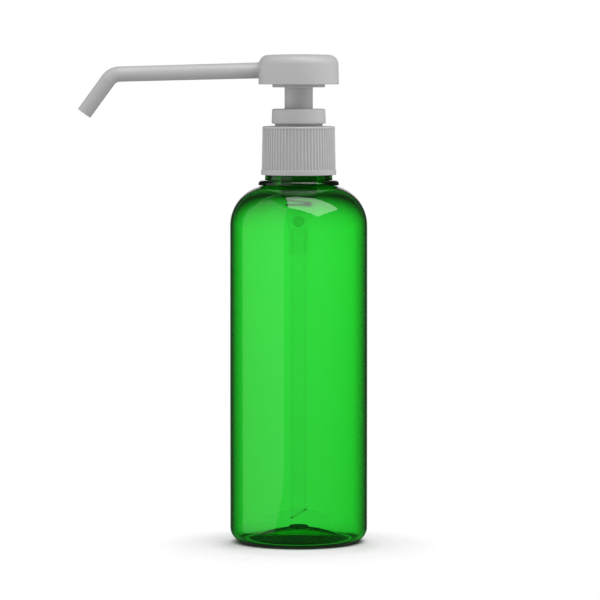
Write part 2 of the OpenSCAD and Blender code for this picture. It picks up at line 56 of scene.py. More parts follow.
# %% [markdown]
# Camera
#
# The photograph was taken from a little over a metre away, with the lens level with the top of the
# pump and turned down to the middle of the bottle. A long lens from there keeps the wall almost
# parallel and still shows a thin ellipse at the base. The camera is turned by its own axes: its local
# -Z looks along the line of sight, so one rotation towards the aim point is enough.

# %% Camera
MM = 0.001
PIXEL = 0.3644 * MM      # size of a picture element at the bottle's axis
IMAGE_SIDE = 600
EYE_DISTANCE = 1.275
EYE_HEIGHT = 0.1757
BASE_ROW = 542.4         # row of the picture where the axis meets the floor
AXIS_COLUMN = 298.7
SENSOR = 36

camera_data = bpy.data.cameras.new("camera")
camera = bpy.data.objects.new("camera", camera_data)
bpy.context.scene.collection.objects.link(camera)
bpy.context.scene.camera = camera
eye = Vector(((IMAGE_SIDE / 2 - AXIS_COLUMN) * PIXEL, -EYE_DISTANCE, EYE_HEIGHT))
aim = Vector((eye.x, 0, (BASE_ROW - IMAGE_SIDE / 2) * PIXEL))
camera.location = eye
camera.rotation_euler = (aim - eye).to_track_quat("-Z", "Y").to_euler()
camera_data.sensor_width = SENSOR
camera_data.lens = SENSOR * (aim - eye).length / (IMAGE_SIDE * PIXEL)
camera_data.clip_end = 20
print("lens:", round(camera_data.lens, 1), "mm")

# %% [markdown]
# Shader maths
#
# A material is a graph of nodes. Written out, each product or sum takes four lines of code, so the
# small class below wraps a node's output and lets Python's own signs add the Math nodes. Every other
# node comes from one method, which takes the node's type, its settings and the values or links of
# its sockets.


# %% Shader maths
class Wire:
    """The output of a node. A sign between wires or numbers adds a Math node."""

    def __init__(self, finish, socket):
        self.finish = finish
        self.socket = socket

    def maths(self, operation, first, second):
        return self.finish.add("Math", {"operation": operation}, {0: first, 1: second})

    def __add__(self, other):
        return self.maths("ADD", self, other)

    def __mul__(self, other):
        return self.maths("MULTIPLY", self, other)

    def __sub__(self, other):
        return self.maths("SUBTRACT", self, other)

    def __rsub__(self, other):
        return self.maths("SUBTRACT", other, self)

    __radd__ = __add__
    __rmul__ = __mul__


class Finish:
    """A material, and the one way to add nodes to it."""

    def __init__(self, name):
        self.material = bpy.data.materials.new(name)
        self.material.use_nodes = True
        self.tree = self.material.node_tree
        self.shader = self.tree.nodes["Principled BSDF"]
        self.output = self.tree.nodes["Material Output"]

    def add(self, kind, settings=None, sockets=None, out=0):
        """Adds a node with its settings and sockets, and gives one of its outputs."""
        node = self.tree.nodes.new("ShaderNode" + kind)
        for key, value in (settings or {}).items():
            if key == "stops":
                set_stops(node, value)
            else:
                setattr(node, key, value)
        self.plug(node, sockets or {})
        return Wire(self, node.outputs[out])

    def step(self, value, start, end):
        """Runs smoothly from 0 to 1 between two values."""
        return self.add("MapRange", {"interpolation_type": "SMOOTHSTEP"},
                        {"Value": value, "From Min": start, "From Max": end})

    def plug(self, node, sockets):
        """Links a wire to a socket, or writes a plain value into it."""
        for key, value in sockets.items():
            if isinstance(value, Wire):
                self.tree.links.new(value.socket, node.inputs[key])
            else:
                node.inputs[key].default_value = value

    def set(self, **sockets):
        """Fills the sockets of the main shader; an underscore stands for a blank in their names."""
        self.plug(self.shader, {key.replace("_", " "): value for key, value in sockets.items()})


def set_stops(ramp, stops):
    """Gives a ramp its stops, as pairs of place and grey or colour."""
    elements = ramp.color_ramp.elements
    while len(elements) < len(stops):
        elements.new(0.5)
    for element, (place, value) in zip(elements, stops):
        element.position = place
        element.color = value if len(value) == 4 else (*value, 1)


print("shader maths ready")

# %% [markdown]
# Grey plastic of the pump
#
# The closure, the collar, the stem, the head and the spout are moulded from one grey polypropylene.
# Its skin is satin: the mould was polished only a little, so a fine even grain breaks up the shine,
# and the colour drifts by a few parts in a hundred where the melt flowed. A noise of two sizes in the
# colour and a fine bump give that, and the roughness drifts with them so that highlights stay soft.


# %% Grey plastic
def moulded_plastic(name, colour, drift, roughness, grain, grain_size):
    """A moulded plastic whose colour drifts and whose skin has a fine grain."""
    finish = Finish(name)
    place = finish.add("TexCoord", out=3)
    cloud = finish.add("TexNoise", None, {"Vector": place, "Scale": 55.0, "Detail": 3.0,
                                          "Roughness": 0.55})
    fine = finish.add("TexNoise", None, {"Vector": place, "Scale": grain_size, "Detail": 2.0})
    low = tuple(c * (1 - drift) for c in colour[:3])
    high = tuple(min(1, c * (1 + drift)) for c in colour[:3])
    tint = finish.add("ValToRGB", {"stops": [(0.3, low), (0.7, high)]}, {"Fac": cloud})
    relief = finish.add("Bump", None, {"Strength": grain, "Distance": 0.00006, "Height": fine})
    finish.set(Base_Color=tint, Normal=relief, IOR=1.49,
               Roughness=fine * 0.08 + cloud * 0.06 + (roughness - 0.07))
    return finish


PUMP_GREY = (0.42, 0.42, 0.421)
pump_grey = moulded_plastic("pump_grey_satin", PUMP_GREY, 0.03, 0.42, 0.12, 2600)
print("grey plastic:", pump_grey.material.name)

# %% [markdown]
# Green plastic of the bottle
#
# The bottle is blown from clear PET with a green dye in it. Light is tinted on its way through the
# plastic and not at its surface: the thin wall is bright green, while the rim of the body, the heel
# and the solid rings of the neck, where the way through is long, turn almost black. So the surface is
# clear and smooth, and a Volume Absorption node inside the wall takes the red and the blue away.

# %% Green plastic
PET_DENSITY = 2400
PET_PASSES = (0.16, 0.962, 0.27, 1)
bottle_pet = Finish("bottle_green_pet")
pet_place = bottle_pet.add("TexCoord", out=3)
pet_swell = bottle_pet.add("TexNoise", None, {"Vector": pet_place, "Scale": 38.0, "Detail": 1.0})
pet_relief = bottle_pet.add("Bump", None, {"Strength": 0.05, "Distance": 0.0003, "Height": pet_swell})
bottle_pet.set(Base_Color=(1, 1, 1, 1), IOR=1.57, Roughness=0.0, Transmission_Weight=1.0,
               Normal=pet_relief)
pet_dye = bottle_pet.add("VolumeAbsorption", None, {"Color": PET_PASSES, "Density": PET_DENSITY})
bottle_pet.plug(bottle_pet.output, {"Volume": pet_dye})
print("green plastic: density", PET_DENSITY)

# %% [markdown]
# Materials inside
#
# The cylinder, the rod and the piston are natural polypropylene, which lets light through. The part
# of them inside the bottle's neck is thick and milky, so there the material hides what is behind it.
# These pieces and the valve's glass ball are made with Alpha, which lets light go straight through,
# because so small and thin they hardly bend it. The dip tube is made with a weak refraction, and
# shows through the wall as a faint stripe. The gasket is white foam with open pores, and the spring
# is bright steel.


# %% Materials inside
NECK_FROM = 0.1255       # height at which the pump's thick upper part starts to hide the light
NECK_TO = 0.1275         # height from which it hides it fully


def clear_inner(name, colour, alpha, roughness, top_alpha=0.0):
    """A thin see-through material whose milkiness drifts; in the neck it can be thicker."""
    finish = Finish(name)
    place = finish.add("TexCoord", out=3)
    height = finish.add("SeparateXYZ", None, {0: place}, out=2)
    upper = finish.add("MapRange", None, {"Value": height, "From Min": NECK_FROM,
                                          "From Max": NECK_TO, "To Max": top_alpha})
    cloud = finish.add("TexNoise", None, {"Vector": place, "Scale": 120.0, "Detail": 2.0})
    rim = finish.add("LayerWeight", None, {"Blend": 0.35}, out=1)
    finish.set(Base_Color=colour, IOR=1.49, Roughness=roughness,
               Alpha=cloud * (alpha * 0.4) + rim * alpha + alpha * 0.5 + upper)
    return finish


def thin_tube(name):
    """Clear tubing that bends the light very little, with a slightly uneven tint."""
    finish = Finish(name)
    place = finish.add("TexCoord", out=3)
    drift = finish.add("TexNoise", None, {"Vector": place, "Scale": 60.0, "Detail": 2.0})
    tint = finish.add("ValToRGB", {"stops": [(0.3, (0.97, 0.98, 0.97)), (0.7, (1.0, 1.0, 1.0))]},
                      {"Fac": drift})
    finish.set(Base_Color=tint, IOR=1.01, Roughness=0.0, Transmission_Weight=1.0)
    return finish


def foam(name):
    """White foam with open pores, whose pits are painted darker as painted shade."""
    finish = Finish(name)
    place = finish.add("TexCoord", out=3)
    pores_and_pit_shade = finish.add("TexVoronoi", None, {"Vector": place, "Scale": 3200.0})
    # The pits of the pores get a darker grey: this is painted shade in the pits.
    tint = finish.add("ValToRGB", {"stops": [(0.0, (0.5, 0.5, 0.48)), (0.5, (0.8, 0.8, 0.78))]},
                      {"Fac": pores_and_pit_shade})
    relief = finish.add("Bump", None, {"Strength": 0.4, "Distance": 0.0001, "Height": pores_and_pit_shade})
    finish.set(Base_Color=tint, Normal=relief, Roughness=0.85)
    return finish


def drawn_steel(name):
    """Bright drawn wire, whose roughness varies finely."""
    finish = Finish(name)
    place = finish.add("TexCoord", out=3)
    lines = finish.add("TexNoise", None, {"Vector": place, "Scale": 900.0, "Detail": 3.0})
    finish.set(Base_Color=(0.62, 0.63, 0.65, 1), Metallic=1.0, Roughness=lines * 0.2 + 0.14)
    return finish


# The cylinder, the rod and the piston are given a dark grey, which makes their nearly opaque part in
# the neck dark.
natural = clear_inner("natural_plastic", (0.3, 0.33, 0.3, 1), 0.025, 0.35, 0.9)
tube_clear = thin_tube("clear_tube")
gasket_foam = foam("gasket_foam")
steel = drawn_steel("bright_steel")
glass = clear_inner("clear_glass", (0.85, 0.92, 0.88, 1), 0.12, 0.05)
INSIDE = {"pump_housing": natural, "piston_rod": natural, "piston": natural,
          "dip_tube": tube_clear, "gasket": gasket_foam, "inlet_ball": glass, "spring": steel}
for node, finish in INSIDE.items():
    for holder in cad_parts[node].material_slots:
        holder.material = finish.material
print("materials inside:", len(INSIDE))

# %% [markdown]
# Spring
#
# The spring gets shorter when the head is pressed. A copy of its mesh stands in for it, on a body of
# its own, and the height of its top is taken from it.

# %% Spring
spring_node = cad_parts["spring"]
spring = bpy.data.objects.new("coil_spring", spring_node.data.copy())
spring.matrix_world = spring_node.matrix_world
bpy.context.scene.collection.objects.link(spring)
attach(spring, "return_spring")
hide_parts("spring")
spring_top = max((spring.matrix_world @ point.co).z for point in spring.data.vertices)
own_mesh(spring)

# %% [markdown]
# Outlines
#
# Five of the six pieces that show are round, so each starts as half of its cross section. An outline
# is written as corners: a radius, a height, and how far the corner is rounded. The helper turns the
# rounded corners into short arcs, so one number gives a bead its soft edge.

# %% Outlines
ARC_STEP = math.radians(7)


def rounded(corners, step=ARC_STEP):
    """The points of an open outline, in metres, from corners (radius, height, rounding) in mm."""
    points = []
    for i, (x, z, size) in enumerate(corners):
        here = Vector((x, z))
        if size == 0 or i in (0, len(corners) - 1):
            points.append(here)
            continue
        back = (Vector(corners[i - 1][:2]) - here).normalized()
        on = (Vector(corners[i + 1][:2]) - here).normalized()
        half = back.angle(on) / 2
        middle = here + (back + on).normalized() * (size / math.sin(half))
        start = here + back * (size / math.tan(half)) - middle
        turn = math.pi - 2 * half
        side = 1 if back.x * on.y - back.y * on.x < 0 else -1
        count = max(2, math.ceil(turn / step))
        for k in range(count + 1):
            a = side * turn * k / count
            points.append(middle + Vector((start.x * math.cos(a) - start.y * math.sin(a),
                                           start.x * math.sin(a) + start.y * math.cos(a))))
    return [p * MM for p in points]


def arc(middle_r, middle_z, radius, r_from, r_to, count):
    """Points in mm on the upper half of a circle, from one distance from the axis to another."""
    start, end = (math.acos((r - middle_r) / radius) for r in (r_from, r_to))
    angles = [start + (end - start) * k / count for k in range(count + 1)]
    return [(middle_r + radius * math.cos(a), middle_z + radius * math.sin(a), 0) for a in angles]


print("outline helpers ready")

# %% [markdown]
# Turning an outline
#
# A round piece can be made by stacking cylinders or by turning its outline about the axis. Turning is
# used here, because one outline holds every step and rounding of the piece. A plane is merged to one
# vertex, the vertex is extruded from point to point along the outline, and Spin carries the outline
# round. Doubles are merged afterwards, which closes the seam and the poles. The other helpers here
# join pieces, set copies of a piece round the axis, and give a finished piece its material and its
# body and hide the nodes that it stands for.


# %% Turning an outline
def nothing_selected():
    """Leaves edit mode and deselects everything."""
    if bpy.context.object and bpy.context.object.mode != "OBJECT":
        bpy.ops.object.mode_set(mode="OBJECT")
    bpy.ops.object.select_all(action="DESELECT")


def begin(name, adder, **how):
    """Adds a primitive under a name, applies its place and opens it in edit mode."""
    nothing_selected()
    adder(**how)
    piece = bpy.context.object
    piece.name = piece.data.name = name
    bpy.ops.object.transform_apply(location=True, rotation=True, scale=True)
    bpy.ops.object.mode_set(mode="EDIT")
    bpy.ops.mesh.select_mode(type="VERT")
    bpy.ops.mesh.select_all(action="SELECT")
    return piece


def close_up(piece, angle=30):
    """Merges doubles, turns the faces outwards and smooths what isn't a sharp corner."""
    bpy.ops.mesh.select_all(action="SELECT")
    bpy.ops.mesh.remove_doubles(threshold=1e-6)
    bpy.ops.mesh.normals_make_consistent(inside=False)
    bpy.ops.object.mode_set(mode="OBJECT")
    bpy.ops.object.shade_smooth_by_angle(angle=math.radians(angle))
    return piece


def turn(name, points, steps, closed=False):
    """A round piece from its outline, which ends on the axis unless it is closed."""
    first = Vector((points[0].x, 0, points[0].y))
    piece = begin(name, bpy.ops.mesh.primitive_plane_add, size=MM, location=first)
    bpy.ops.mesh.merge(type="CENTER")
    for a, b in zip(points, points[1:] + points[:1] * closed):
        step = (b.x - a.x, 0, b.y - a.y)
        bpy.ops.mesh.extrude_vertices_move(TRANSFORM_OT_translate={"value": step})
    bpy.ops.mesh.select_all(action="SELECT")
    bpy.ops.mesh.spin(steps=steps, angle=2 * math.pi, center=(0, 0, 0), axis=(0, 0, 1))
    close_up(piece)
    print(name, "faces:", len(piece.data.polygons))
    return piece


def join(main, *others):
    """Makes several pieces of mesh one object, which keeps the name of the first."""
    nothing_selected()
    for other in others:
        other.select_set(True)
    main.select_set(True)
    bpy.context.view_layer.objects.active = main
    bpy.ops.object.join()


def copies_round(piece, count):
    """Replaces a piece with copies of it, evenly round the axis."""
    copies = []
    for i in range(count):
        nothing_selected()
        piece.select_set(True)
        bpy.context.view_layer.objects.active = piece
        bpy.ops.object.duplicate()
        turned = bpy.context.object
        turned.data.transform(Matrix.Rotation(2 * math.pi * i / count, 4, "Z"))
        copies.append(turned)
    bpy.data.objects.remove(piece)
    return copies


def dress(piece, finish, body, slot, *nodes):
    """Gives a finished piece its material and its body, and hides the nodes that it stands for."""
    piece.data.materials.clear()
    piece.data.materials.append(finish.material)
    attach(piece, body)
    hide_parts(*nodes)


# %% [markdown]
# Bottle
#
# The bottle is a shell, so its outline runs twice: up the outside from the middle of the push-up,
# over the mouth, and down the inside to the middle again, where a small pad thickens the push-up. A
# vertex close to each end of the straight wall keeps the shading of the long faces straight, as
# support loops do.

# %% Bottle
WALL = 0.8
BODY_R = 25
SHOULDER_R = 14.7
SHOULDER_Z = 115.6
PUNT_H = 4.4
PUNT_R = 39.4
PUNT_Z = PUNT_H - PUNT_R
BOTTLE_STEP = math.radians(5)
BOTTLE_STEPS = 160
OUTSIDE = arc(0, PUNT_Z, PUNT_R, 0.0, 18.1, 14) + [
    (18.4, 0, 0.3), (BODY_R, 0, 5.2), (BODY_R, 6.2, 0), (BODY_R, 60, 0), (BODY_R, 115, 0),
] + arc(BODY_R - SHOULDER_R, SHOULDER_Z, SHOULDER_R, BODY_R, 12.2, 18) + [
    (14.65, 130.2, 0.3), (14.65, 132.0, 1.25), (11.2, 132.0, 0), (11.2, 132.1, 0),
    (12.35, 132.1, 0.2), (12.2, 133.8, 0.25), (10.7, 133.8, 0.3), (10.7, 148, 0.4), (9.5, 148, 0.2)]
INSIDE_R = BODY_R - WALL
CEILING = SHOULDER_Z + SHOULDER_R - WALL
INSIDE_WALL = [
    (9.5, CEILING, 0.6), (INSIDE_R, CEILING, SHOULDER_R - WALL), (INSIDE_R, 115, 0),
    (INSIDE_R, 60, 0), (INSIDE_R, 6.2, 0), (INSIDE_R, WALL, 4.4), (18.7, WALL, 0.4)]
PAD = [(3.5, 5.0, 0.3), (3.5, 5.8, 0.3), (0, 5.8, 0)]
INSIDE_PUNT = arc(0, PUNT_Z, PUNT_R + WALL, 18.3, 3.9, 12)
bottle_outline = rounded(OUTSIDE + INSIDE_WALL + INSIDE_PUNT + PAD, BOTTLE_STEP)
bottle = turn("green_bottle", bottle_outline, BOTTLE_STEPS)

# %% [markdown]
# Screw thread
#
# The thread is a low ridge that winds up the neck one and a half times. The Screw modifier carries
# one section up and round, which a chain of copies would only approximate. Each end then sinks into
# the neck, as a moulded thread does. The ridge is joined to the bottle, because they are one piece.

# %% Screw thread
PITCH = 3.175
THREAD_TURNS = 1.5
THREAD_LOW = 145.4 - THREAD_TURNS * PITCH
THREAD_STEPS = 48        # in one turn
RIDGE_FOOT = 1.0         # half the ridge's height at the wall
RIDGE_CREST = 0.45       # half its height at the crest


def thread(name, root_r, crest_r, low, turns):
    """A helical ridge between two radii, whose section is a trapezium."""
    middle = Vector(((root_r + crest_r) / 2 * MM, 0, low * MM))
    ridge = begin(name, bpy.ops.mesh.primitive_plane_add, size=MM, location=middle,
                  rotation=(math.pi / 2, 0, 0))
    corners = {(-1, -1): (root_r, -RIDGE_FOOT), (-1, 1): (root_r, RIDGE_FOOT),
               (1, -1): (crest_r, -RIDGE_CREST), (1, 1): (crest_r, RIDGE_CREST)}
    bpy.ops.object.mode_set(mode="OBJECT")
    for vertex in ridge.data.vertices:
        way = vertex.co - middle
        r, up = corners[(1 if way.x > 0 else -1, 1 if way.z > 0 else -1)]
        vertex.co = (r * MM, 0, (low + up) * MM)
    screw = ridge.modifiers.new("screw", "SCREW")
    screw.angle = turns * 2 * math.pi
    screw.screw_offset = turns * PITCH * MM
    screw.steps = screw.render_steps = round(turns * THREAD_STEPS)
    screw.use_merge_vertices = False
    bpy.ops.object.modifier_apply(modifier="screw")
    bpy.ops.object.mode_set(mode="EDIT")
    bpy.ops.mesh.select_all(action="DESELECT")
    bpy.ops.mesh.select_non_manifold()
    bpy.ops.object.mode_set(mode="OBJECT")
    for vertex in ridge.data.vertices:
        r = math.hypot(vertex.co.x, vertex.co.y) / MM
        if vertex.select and abs(r - crest_r) < abs(r - root_r):
            sunk = (root_r + (crest_r - root_r) * 0.1) / r
            vertex.co = (vertex.co.x * sunk, vertex.co.y * sunk, vertex.co.z)
    bpy.ops.object.mode_set(mode="EDIT")
    bpy.ops.mesh.select_all(action="SELECT")
    bpy.ops.mesh.fill_holes(sides=4)
    return close_up(ridge)


neck_thread = thread("neck_thread", 10.5, 11.8, THREAD_LOW, THREAD_TURNS)
join(bottle, neck_thread)
dress(bottle, bottle_pet, "bottle_body", "bottle_pet", "bottle")
print("bottle faces:", len(bottle.data.polygons))

# %% [markdown]
# Closure
#
# The closure is a cap with a hole for the pump, a plain band at its foot and fine upright ribs that
# give the fingers a grip. Its plain body is turned. One rib is modelled as a slim rounded bar that
# leans in with the wall, and copies of it go round the cap, each turned by the same angle.

# %% Closure
RIBS = 68
RIB_R = 0.42
RIB_LENGTH = 15.3
RIB_FLATNESS = 0.75      # how far a rib stands out, as a share of its roundness
RIB_LEAN = 0.29          # how much nearer the axis its upper end is
RIB_OUT = 0.14
rib_middle = Vector((13.0, 0, 143.42)) * MM
closure = turn("ribbed_closure", rounded([
    (8.85, 150.1, 0), (8.85, 151.6, 0.2), (13.21, 151.6, 0.5), (13.21, 150.85, 0.1),
    (12.9, 150.8, 0.1), (13.17, 135.9, 0.05), (13.65, 135.85, 0.22), (13.65, 134.0, 0.15),
    (12.0, 134.0, 0.15), (12.0, 150.1, 0.4)]), 136, closed=True)

rib = begin("rib", bpy.ops.mesh.primitive_cylinder_add, vertices=10, radius=RIB_R * MM,
            depth=RIB_LENGTH * MM, location=rib_middle)
bpy.ops.transform.resize(value=(RIB_FLATNESS, 1, 1), center_override=rib_middle)
bpy.ops.mesh.select_all(action="DESELECT")
bpy.ops.object.mode_set(mode="OBJECT")
for vertex in rib.data.vertices:
    vertex.select = vertex.co.z > rib_middle.z
bpy.ops.object.mode_set(mode="EDIT")
bpy.ops.transform.translate(value=(-RIB_LEAN * MM, 0, 0))
bpy.ops.mesh.select_all(action="SELECT")
bpy.ops.transform.translate(value=(RIB_OUT * MM, 0, 0))
close_up(rib, 50)
ribs = copies_round(rib, RIBS)
closure_thread = thread("closure_thread", 12.3, 10.9, THREAD_LOW - PITCH / 2, THREAD_TURNS)
join(closure, *ribs, closure_thread)
dress(closure, pump_grey, "closure_nut", "pump_grey", "closure")
print("ribs:", RIBS, "closure faces:", len(closure.data.polygons))

# %% [markdown]
# Collar and stem
#
# The collar clips onto the pump's cylinder and guides the stem. Both are plain turned pieces with a
# bore, so their outlines are closed: up the outside and down the bore.

# %% Collar and stem
collar = turn("stem_collar", rounded([
    (8.45, 150.12, 0), (8.7, 152.6, 0.1), (9.85, 152.6, 0.2), (9.65, 157.9, 0.6),
    (5.175, 157.9, 0.2), (5.175, 156.6, 0), (7.68, 156.6, 0.2), (7.68, 150.12, 0)]), 128,
    closed=True)
dress(collar, pump_grey, "pump", "pump_grey", "collar")

stem = turn("pump_stem", rounded([
    (3.3, 146.8, 0), (4.525, 146.8, 0.2), (4.525, 155.4, 0), (5.7, 155.4, 0.2), (5.7, 156.58, 0.2),
    (5.125, 156.58, 0), (5.125, 169.37, 0.3), (3.3, 169.37, 0.1)]), 96, closed=True)
dress(stem, pump_grey, "actuator", "pump_grey", "stem")

# %% [markdown]
# Head
#
# The head is a shallow hollow button. From above it has a slightly crowned top and a soft shoulder;
# from below it shows the ring that hides the collar when the pump is pressed, the column that holds
# the stem, and eight thin webs between them. The outline runs over the top, up and down through each
# hollow, and ends on the axis. One web is modelled and copied round.

# %% Head
CROWN_R = 257.6
HEAD_TOP = 177.7
WEBS = 8
EDGE = 0.12              # how far the sharp edges of the pump's parts are rounded
crown_z = HEAD_TOP - CROWN_R
crown = [(r, crown_z + math.sqrt(CROWN_R ** 2 - r * r), 0) for r in (0, 3, 6, 9, 10.5)]
head = turn("press_head", rounded(crown + [
    (14.37, 177.3, 3.4), (14.6, 166.8, 0.2), (13.3, 166.8, 0.15), (13.08, 176.0, 2.2),
    (9.55, 176.05, 0.4), (9.55, 165.7, 0.3), (8.25, 165.7, 0.15), (8.25, 176.1, 0.4),
    (6.425, 176.1, 0.4), (6.425, 165.9, 0.2), (5.145, 165.9, 0.15), (5.145, 169.39, 0),
    (3.3, 169.39, 0), (3.3, 173.6, 0), (0, 173.6, 0)]), 144)

web = begin("web", bpy.ops.mesh.primitive_cube_add, size=MM,
            location=(9.7 * MM, 0, 174.2 * MM), scale=(7.0, 1.0, 3.9))
bpy.ops.mesh.select_mode(type="EDGE")
bpy.ops.mesh.select_all(action="SELECT")
bpy.ops.mesh.bevel(offset=EDGE * MM, segments=1)
close_up(web)
webs = copies_round(web, WEBS)

# %% [markdown]
# Spout
#
# The spout leaves the head through a short boss, droops a little, bends down near its end and is cut
# square at the tip. A ring of vertices is extruded along the arm, spun round the corner and extruded
# along the tip; a hair more radius in the bend leaves the two witness lines that the mould's inserts
# left. Solidify then gives the tube its wall, which opens the bore.

# %% Spout
DROOP = math.radians(1.5)
BEND = math.radians(52.4)
BEND_R = 5.5
BEND_START = 64.894
TIP_LENGTH = 14.794
ROOT = 14.976            # where the tube leaves the boss
HEAD_ROOT = 9.0          # where it starts inside the head
INNER_R = 2.23           # its outer radius inside the boss, ...
ARM_R = 2.88             # where it leaves the boss, ...
TIP_R = 2.77             # at the end of the arm and along the tip, ...
BEND_RING_R = 2.8        # and in the bend
ARM_PARTS = 4
TUBE_WALL = 1.1
out_way = Vector((-math.cos(DROOP), 0, -math.sin(DROOP)))
up_way = Vector((-math.sin(DROOP), 0, math.cos(DROOP)))
tip_way = Matrix.Rotation(-BEND, 3, "Y") @ out_way
SPOUT_AXIS = Vector((0, 0, 172.2))


def on_arm(distance, up=0.0):
    """The point on the drooping arm at a distance from the head's axis, both in mm."""
    return (SPOUT_AXIS + out_way * distance + up_way * up) * MM


def grow(factor):
    """Widens the selected ring about its own middle."""
    bpy.ops.object.mode_set(mode="OBJECT")
    chosen = [v.co for v in bpy.context.object.data.vertices if v.select]
    middle = sum(chosen, Vector()) / len(chosen)
    bpy.ops.object.mode_set(mode="EDIT")
    bpy.ops.transform.resize(value=(factor, factor, factor), center_override=middle)


def extrude(way):
    """Draws a copy of the selected ring out and leaves the copy selected."""
    bpy.ops.mesh.extrude_region_move(TRANSFORM_OT_translate={"value": way})


spout = begin("bent_spout", bpy.ops.mesh.primitive_circle_add, vertices=48, radius=INNER_R * MM,
              location=on_arm(HEAD_ROOT), rotation=(0, -math.pi / 2 - DROOP, 0))
extrude(out_way * (ROOT - HEAD_ROOT) * MM)
extrude((0, 0, 0))
grow(ARM_R / INNER_R)
arm_radii = [ARM_R + (TIP_R - ARM_R) * part / ARM_PARTS for part in range(ARM_PARTS + 1)]
for radius, next_radius in zip(arm_radii, arm_radii[1:]):
    extrude(out_way * (BEND_START - ROOT) / ARM_PARTS * MM)
    grow(next_radius / radius)
extrude((0, 0, 0))
grow(BEND_RING_R / TIP_R)
bpy.ops.mesh.spin(steps=14, angle=BEND, center=on_arm(BEND_START, -BEND_R), axis=(0, 1, 0))
extrude((0, 0, 0))
grow(TIP_R / BEND_RING_R)
extrude(tip_way * TIP_LENGTH * MM)
bpy.ops.mesh.select_all(action="SELECT")
bpy.ops.mesh.normals_make_consistent(inside=False)
bpy.ops.object.mode_set(mode="OBJECT")
face = spout.data.polygons[0]
if face.normal.dot(face.center - on_arm((face.center / MM - SPOUT_AXIS).dot(out_way))) < 0:
    bpy.ops.object.mode_set(mode="EDIT")
    bpy.ops.mesh.flip_normals()
    bpy.ops.object.mode_set(mode="OBJECT")
spout_wall = spout.modifiers.new("wall", "SOLIDIFY")
spout_wall.thickness = TUBE_WALL * MM
spout_wall.offset = -1
bpy.ops.object.modifier_apply(modifier="wall")
spout_edge = spout.modifiers.new("edge", "BEVEL")
spout_edge.width = EDGE * MM
spout_edge.segments = 2
spout_edge.limit_method = "ANGLE"
spout_edge.angle_limit = math.radians(60)
bpy.ops.object.modifier_apply(modifier="edge")
bpy.ops.object.shade_smooth_by_angle(angle=math.radians(35))
dress(spout, pump_grey, "actuator", "pump_grey", "spout")
print("spout faces:", len(spout.data.polygons))

BOSS_R = 3.03
BOSS_FROM = 6.0
boss = begin("boss", bpy.ops.mesh.primitive_cylinder_add, vertices=48, radius=BOSS_R * MM,
             depth=(ROOT - BOSS_FROM) * MM, location=on_arm((ROOT + BOSS_FROM) / 2),
             rotation=(0, -math.pi / 2 - DROOP, 0))
bpy.ops.mesh.select_mode(type="EDGE")
bpy.ops.mesh.select_all(action="DESELECT")
bpy.ops.object.mode_set(mode="OBJECT")
for edge in boss.data.edges:
    ends = [boss.data.vertices[v].co for v in edge.vertices]
    edge.select = all((p - on_arm(ROOT)).length < (BOSS_R + 0.17) * MM for p in ends)
bpy.ops.object.mode_set(mode="EDIT")
bpy.ops.mesh.bevel(offset=EDGE * MM, segments=2)
close_up(boss, 35)
join(head, boss, *webs)
dress(head, pump_grey, "actuator", "pump_grey", "head")
print("head faces:", len(head.data.polygons))

# %% [markdown]
# Floor
#
# The photograph is a packshot on white paper. A disc of paper under the bottle takes the soft shadow
# and fades out to nothing a short way off, so that the white of the studio takes over and no far edge
# of the floor shows. Right under the bottle the paper's own colour is dark: it is painted there to
# stand in for the deep shadow under the base, and isn't shadow itself. Reflections don't meet the
# paper at all, so the heel shows no white line.

# %% Floor
FLOOR_R = 0.1
FLOOR_FADE = [(0.24, (0, 0, 0)), (0.31, (0.5, 0.5, 0.5)), (0.52, (1, 1, 1))]
FADE_MIDDLE = (0, -0.014, 0)
UNDER_R = 0.021          # the paper is dark up to here and pale from the next radius on
BESIDE_R = 0.0255
UNDER_TONE = (0.06, 0.06, 0.06)
PAPER_TONE = (0.85, 0.85, 0.85)
nothing_selected()
bpy.ops.mesh.primitive_circle_add(vertices=96, radius=FLOOR_R, fill_type="NGON")
floor = bpy.context.object
floor.name = "floor"
paper = Finish("white_floor")
place = paper.add("TexCoord", out=3)
reach = paper.add("VectorMath", {"operation": "DISTANCE"}, {0: place, 1: FADE_MIDDLE}, out=1)
from_axis = paper.add("VectorMath", {"operation": "LENGTH"}, {0: place}, out=1)
beside = paper.step(from_axis, UNDER_R, BESIDE_R)
far = paper.add("ValToRGB", {"stops": FLOOR_FADE}, {"Fac": reach * (1 / FLOOR_R)}) * beside
mirror = paper.add("LightPath", out="Is Glossy Ray") * (
    1 - paper.add("LightPath", out="Is Transmission Ray"))
tone = paper.add("ValToRGB", {"stops": [(0.0, UNDER_TONE), (1.0, PAPER_TONE)]}, {"Fac": beside})
grain = paper.add("TexNoise", None, {"Vector": place, "Scale": 900.0, "Detail": 2.0})
paper.set(Base_Color=tone, Roughness=grain * 0.1 + 0.8, Specular_IOR_Level=0.1)
clear = paper.add("BsdfTransparent", None, {"Color": (1, 1, 1, 1)})
shown = paper.add("MixShader", None, {0: far + mirror, 1: Wire(paper, paper.shader.outputs[0]),
                                      2: clear})
paper.plug(paper.output, {"Surface": shown})
floor.data.materials.append(paper.material)

# %% [markdown]
# Studio
#
# Clear plastic shows what stands round it, so the world is made of what each kind of ray meets. It is
# fitted to the photograph's view and isn't one real room: camera rays, reflections and rays through
# the bottle each get their own surroundings, and other surroundings would draw other edges.
#
# - The camera sees white paper.
# - A ray through the bottle meets a sheet of paper behind it. The sheet is narrow and reaches up to
#   the level. The wall bends rays near its edge outwards, past the sheet: that draws the dark edges
#   of the body and darkens the shoulder and the neck. Seen from another side, the bottle has paper
#   behind it too, so it stays green and clear.
# - A reflection meets the paper only straight behind the bottle, from the level up to some twenty
#   degrees above it.
# - What lights the plastic and the floor comes from both sides, a little more of it from the right,
#   and from below, where the paper throws it back.
# - Light that a piece inside the bottle receives through the wall is an even dim grey.

# %% Studio
world = bpy.data.worlds.new("studio")
bpy.context.scene.world = world
world.use_nodes = True


